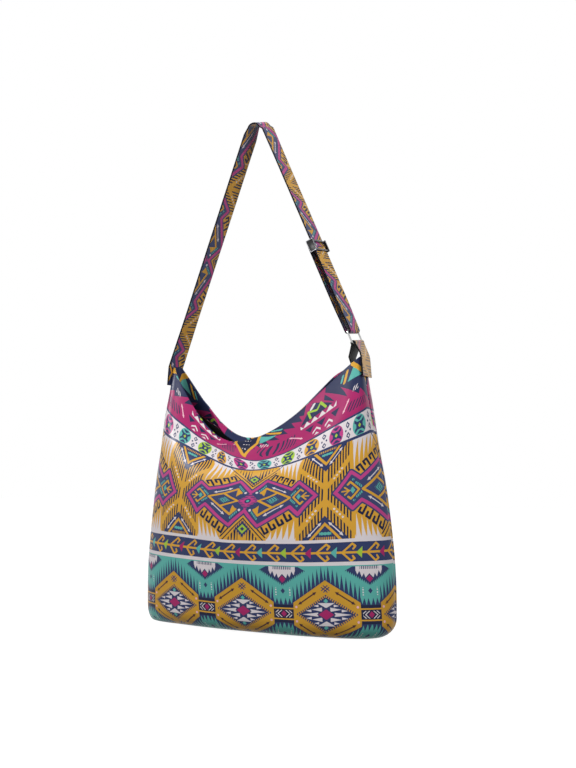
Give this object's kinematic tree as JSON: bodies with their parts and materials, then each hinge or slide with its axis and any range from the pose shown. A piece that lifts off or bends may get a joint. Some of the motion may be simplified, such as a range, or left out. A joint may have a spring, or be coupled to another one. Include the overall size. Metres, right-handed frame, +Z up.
{
  "type": "slouchy hobo shoulder bag",
  "caption": "Slouchy soft hobo shoulder bag with an open sagging mouth, printed panels, black lining and an adjustable strap with ring and slider.",
  "frame": {"origin": "middle of the flat base, at the bottom", "axes": "+Z up, +X along the bag's width towards the ring and slider, -Y towards the front panel"},
  "size_m": [0.3668, 0.1584, 0.7051],
  "materials": {
    "printed_panel": "satin smooth faux leather, printed",
    "printed_strap": "satin smooth faux leather, printed, black edges",
    "lining_cloth": "plain black polyester lining",
    "ring_metal": "bright nickel plating",
    "slider_metal": "dark nickel plating"
  },
  "bodies": {
    "bag": {"front_panel": "printed_panel", "back_panel": "printed_panel", "lining": "lining_cloth", "strap": "printed_strap", "strap_return": "printed_strap", "ring_tab": "printed_strap"},
    "ring": {"ring": "ring_metal"},
    "slider": {"slider": "slider_metal", "strap_end": "printed_strap"}
  },
  "joints": [
    {"name": "ring_swing", "type": "hinge", "parent": "bag", "child": "ring", "pos_m": [0.1355, 0, 0.3855], "axis": [0.0026, 0.9904, 0.1379], "range_deg": [-4.5, 4.5]},
    {"name": "slider_travel", "type": "slide", "parent": "bag", "child": "slider", "axis": [-0.3593, -0.1278, 0.9244], "range_m": [-0.045, 0.08], "deforming": ["strap_return"]}
  ]
}
